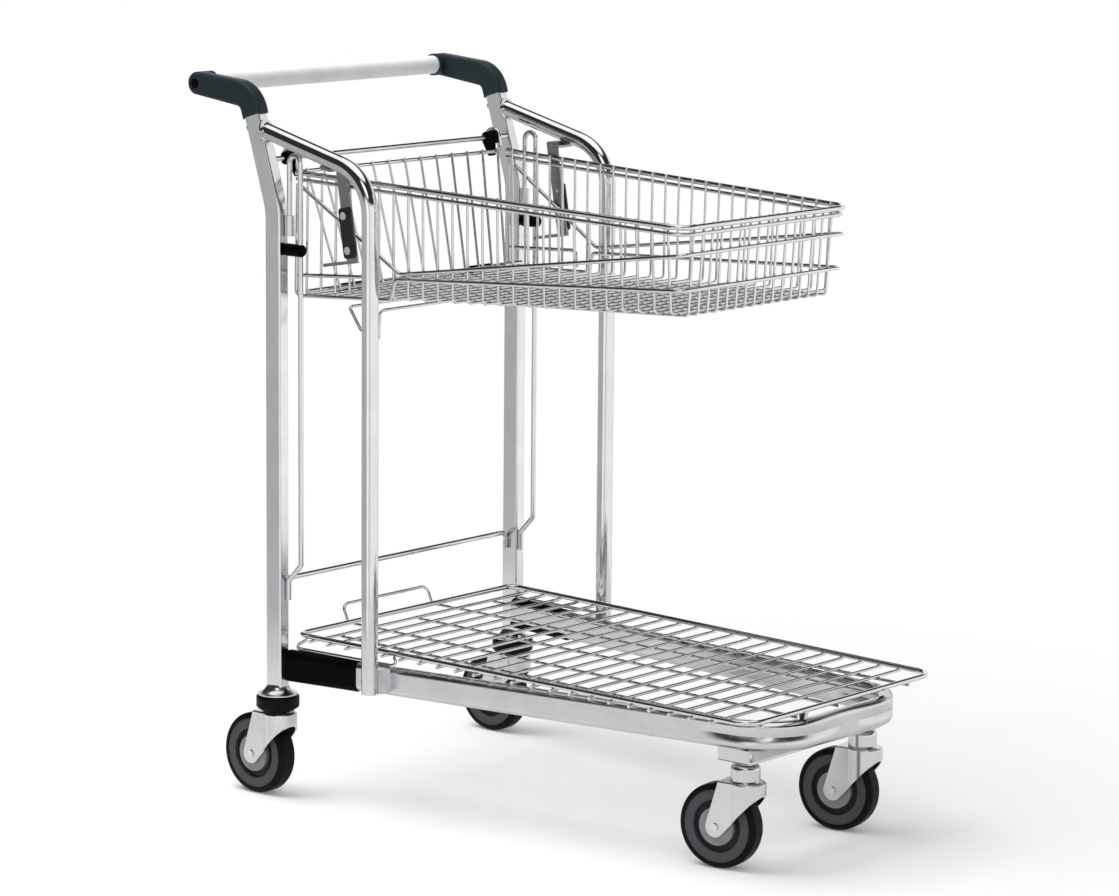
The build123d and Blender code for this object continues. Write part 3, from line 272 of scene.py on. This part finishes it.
# A darker copy of the zinc for the hangers: their dark tone is painted shade on the same plated steel as the
# others
shaded_strap = plated("strap_steel", (0.28, 0.284, 0.292), smooth=0.28, rough=0.36, depth=FINE_DEPTH)
plate = plated("dark_plate", (0.045, 0.046, 0.05), smooth=0.3, rough=0.4, depth=FINE_DEPTH)
fastener = plated("fastener_steel", (0.66, 0.66, 0.665), smooth=0.18, rough=0.28)
black = moulded("black_plastic", (0.002, 0.002, 0.0022), smooth=0.3, rough=0.45, shine=0.03)
slate = moulded("slate_plastic", (0.014, 0.027, 0.031), smooth=0.4, rough=0.52, shine=0.2)
bar = moulded("pale_bar", (0.92, 0.925, 0.935), smooth=0.5, rough=0.6, shine=0.3)
tyre = rubber("tyre_rubber", (0.003, 0.003, 0.0035), dust_tone=(0.008, 0.008, 0.009), shine=0.07)

SLOT_MATERIALS = {
    "zinc_tube": tube,
    "bright_wire": wire,
    "zinc_sheet": sheet,
    "fastener_steel": fastener,
    "black_plastic": black,
    "black_rubber": tyre,
    "slate_plastic": slate,
    "pale_bar": bar,
    "tyre": tyre,
}

# Nodes that look different from the others of their slot
NODE_MATERIALS = {
    "base_rail": rail,
    "left_hoop": hoop,
    "right_hoop": hoop,
    # Both hangers get the darker zinc copy, whose tone is painted shade
    "left_hanger": shaded_strap,
    "right_hanger": shaded_strap,
    "clamp_plates": plate,
    "castor_bridge": sheet,
    "post_feet": sheet,
}


def paint(obj, material):
    """Give an object one material on all its faces."""
    obj.data.materials.clear()
    obj.data.materials.append(material)


for entry in frame["record"]["subparts"]:
    name = entry["node"]
    slot = entry["material_slot"]
    if slot == "wheel_plastic":
        paint(nodes[name], wheel_face(name.replace("_wheel_core", "")))
    else:
        paint(nodes[name], NODE_MATERIALS.get(name, SLOT_MATERIALS[slot]))


# Floor: a white disc that keeps the trolley's shadow and fades into the white room
FLOOR_RADIUS = 1.6
FLOOR_SIDES = 96
FLOOR_DROP = 0.0003
FLOOR_TONE = 0.8
FLOOR_SPECKLE = 0.01
FLOOR_LIFT = 0.16
FADE_START = 0.75
FADE_END = 1.5


def make_floor():
    """Near the trolley the floor is lit; further out it turns to the room's plain white."""
    mesh = bpy.data.meshes.new("floor")
    turns = [2 * math.pi * i / FLOOR_SIDES for i in range(FLOOR_SIDES)]
    rim = [(FLOOR_RADIUS * math.cos(turn), FLOOR_RADIUS * math.sin(turn), -FLOOR_DROP) for turn in turns]
    mesh.from_pydata(rim, [], [tuple(range(FLOOR_SIDES))])
    floor = bpy.data.objects.new("floor", mesh)
    scene.collection.objects.link(floor)
    shader = Shader("floor_white")
    speckle = shader.noise(scale=3.0, detail=3.0)
    near_tone = shader.spread(speckle, FLOOR_TONE - FLOOR_SPECKLE, FLOOR_TONE + FLOOR_SPECKLE)
    far = shader.step(shader.vector("LENGTH", shader.place, output="Value"), FADE_START, FADE_END)
    shader.set(
        Base_Color=shader.mix(far, near_tone, BLACK),
        Roughness=0.9,
        Specular_IOR_Level=0.0,
        Emission_Color=WHITE,
        Emission_Strength=shader.math("MULTIPLY_ADD", far, 1.0 - FLOOR_LIFT, FLOOR_LIFT),
    )
    paint(floor, shader.material)


make_floor()


# Light: a broad soft lamp high on the picture's left, a weaker one near the camera, and the room
def lamp(name, place, target, size, power):
    """A soft disc lamp; metal shows the room's own light panel and ceiling instead of it."""
    data = bpy.data.lights.new(name, "AREA")
    data.shape = "DISK"
    data.size = size
    data.energy = power
    light = bpy.data.objects.new(name, data)
    light.location = place
    light.rotation_euler = (Vector(target) - Vector(place)).to_track_quat("-Z", "Y").to_euler()
    light.visible_glossy = False
    scene.collection.objects.link(light)


lamp("key_lamp", place=(-1.5, -1.2, 4.6), target=(0.0, 0.0, 0.2), size=3.6, power=190.0)
lamp("fill_lamp", place=(2.6, -2.4, 3.2), target=(0.0, 0.0, 0.4), size=3.0, power=40.0)

# The room, as metal sees it: tones, and edges as how far a direction reaches along an aim
ROOM_AMBIENT = 0.42
ROOM_DARK = 0.04
GROUND_TONE = 0.62
GROUND_EXTRA = 0.7
GROUND_SIDE = (0.94, 0.34, 0.0)
GROUND_EDGE = (-0.2, 0.75)
STREAK_TONE = 0.8
STREAK_SIDE = (0.174, -0.985, 0.0)
STREAK_EDGE = (0.94, 0.975)
BACKDROP_TONE = 1.1
BACKDROP_EDGE = (0.35, 0.6)
BACKDROP_TOP = (0.52, 0.4)
HORIZON_EDGE = (0.08, -0.06)
HORIZON_LIFT = 0.24
HORIZON_SIDE = (-0.3, 0.3)
PANEL_TONE = 1.7
PANEL_AIM = Vector((0.5, -0.66, 0.56)).normalized()
PANEL_EDGE = (0.955, 0.98)
CEILING_TONE = 1.6
CEILING_EDGE = (0.79, 0.87)


class Room(Tree):
    """The room in the world's node tree, as tones that depend on the direction alone."""

    def __init__(self, tree):
        super().__init__(tree)
        self.direction = self.new("TexCoord").outputs["Generated"]

    def toward(self, aim, low, high):
        """A smooth rise from 0 to 1 as the direction turns from low to high along an aim."""
        return self.step(self.along(self.direction, aim), low, high)

    def ground(self):
        """White ground, brighter towards the front and in one narrow streak on the right."""
        bright = self.toward(GROUND_SIDE, *GROUND_EDGE)
        streak = self.toward(STREAK_SIDE, *STREAK_EDGE)
        tone = self.math("MULTIPLY_ADD", bright, GROUND_EXTRA, GROUND_TONE)
        return self.math("MULTIPLY_ADD", streak, STREAK_TONE, tone)

    def upper(self):
        """A dark room with a low backdrop on the left, one light panel and a bright ceiling."""
        backdrop = self.math("MULTIPLY", self.toward(LEFT, *BACKDROP_EDGE), self.toward(UP, *BACKDROP_TOP))
        panel = self.toward(PANEL_AIM, *PANEL_EDGE)
        ceiling = self.toward(UP, *CEILING_EDGE)
        tone = ROOM_DARK
        for light, strength in ((backdrop, BACKDROP_TONE), (panel, PANEL_TONE), (ceiling, CEILING_TONE)):
            tone = self.math("MAXIMUM", tone, self.math("MULTIPLY", light, strength))
        return tone

    def below_horizon(self):
        """1 where a direction meets the ground; the horizon lies higher towards the front."""
        lift = self.math("MULTIPLY", self.toward(FORWARD, *HORIZON_SIDE), HORIZON_LIFT)
        height = self.math("SUBTRACT", self.along(self.direction, UP), lift)
        return self.step(height, *HORIZON_EDGE)


def make_world():
    """White to the eye and an even grey to matt faces; metal sees the room and its ground."""
    world = bpy.data.worlds.new("studio")
    world.use_nodes = True
    scene.world = world
    room = Room(world.node_tree)
    path = room.new("LightPath").outputs
    ambient = (ROOM_AMBIENT, ROOM_AMBIENT, ROOM_AMBIENT, 1.0)
    mirrored = room.mix(room.below_horizon(), room.upper(), room.ground())
    lit = room.mix(path["Is Glossy Ray"], ambient, mirrored)
    tone = room.mix(path["Is Camera Ray"], lit, WHITE)
    room.feed(world.node_tree.nodes["Background"].inputs["Color"], tone)


make_world()


# The photograph's camera: angles in degrees, lens and sensor in millimetres, place in metres
VIEW_AZIMUTH = 39.918
VIEW_ELEVATION = 9.612
VIEW_ROLL = 0.506
VIEW_LENS = 133.75
VIEW_SENSOR = 36.0
VIEW_PLACE = Vector((3.9507, -4.7502, 1.5914))


def make_camera():
    """The camera looks along its azimuth and elevation, then is rolled about that line."""
    azimuth = math.radians(VIEW_AZIMUTH)
    elevation = math.radians(VIEW_ELEVATION)
    roll = math.radians(VIEW_ROLL)
    forward = Vector((
        -math.sin(azimuth) * math.cos(elevation),
        math.cos(azimuth) * math.cos(elevation),
        -math.sin(elevation),
    ))
    right = Vector((math.cos(azimuth), math.sin(azimuth), 0.0))
    up = right.cross(forward)
    side = right * math.cos(roll) + up * math.sin(roll)
    top = up * math.cos(roll) - right * math.sin(roll)
    turn = Matrix((side, top, -forward)).transposed()
    data = bpy.data.cameras.new("photo_camera")
    data.sensor_fit = "HORIZONTAL"
    data.sensor_width = VIEW_SENSOR
    data.lens = VIEW_LENS
    camera = bpy.data.objects.new("photo_camera", data)
    camera.matrix_world = Matrix.Translation(VIEW_PLACE) @ turn.to_4x4()
    scene.collection.objects.link(camera)
    scene.camera = camera


make_camera()
scene.view_settings.view_transform = "Standard"
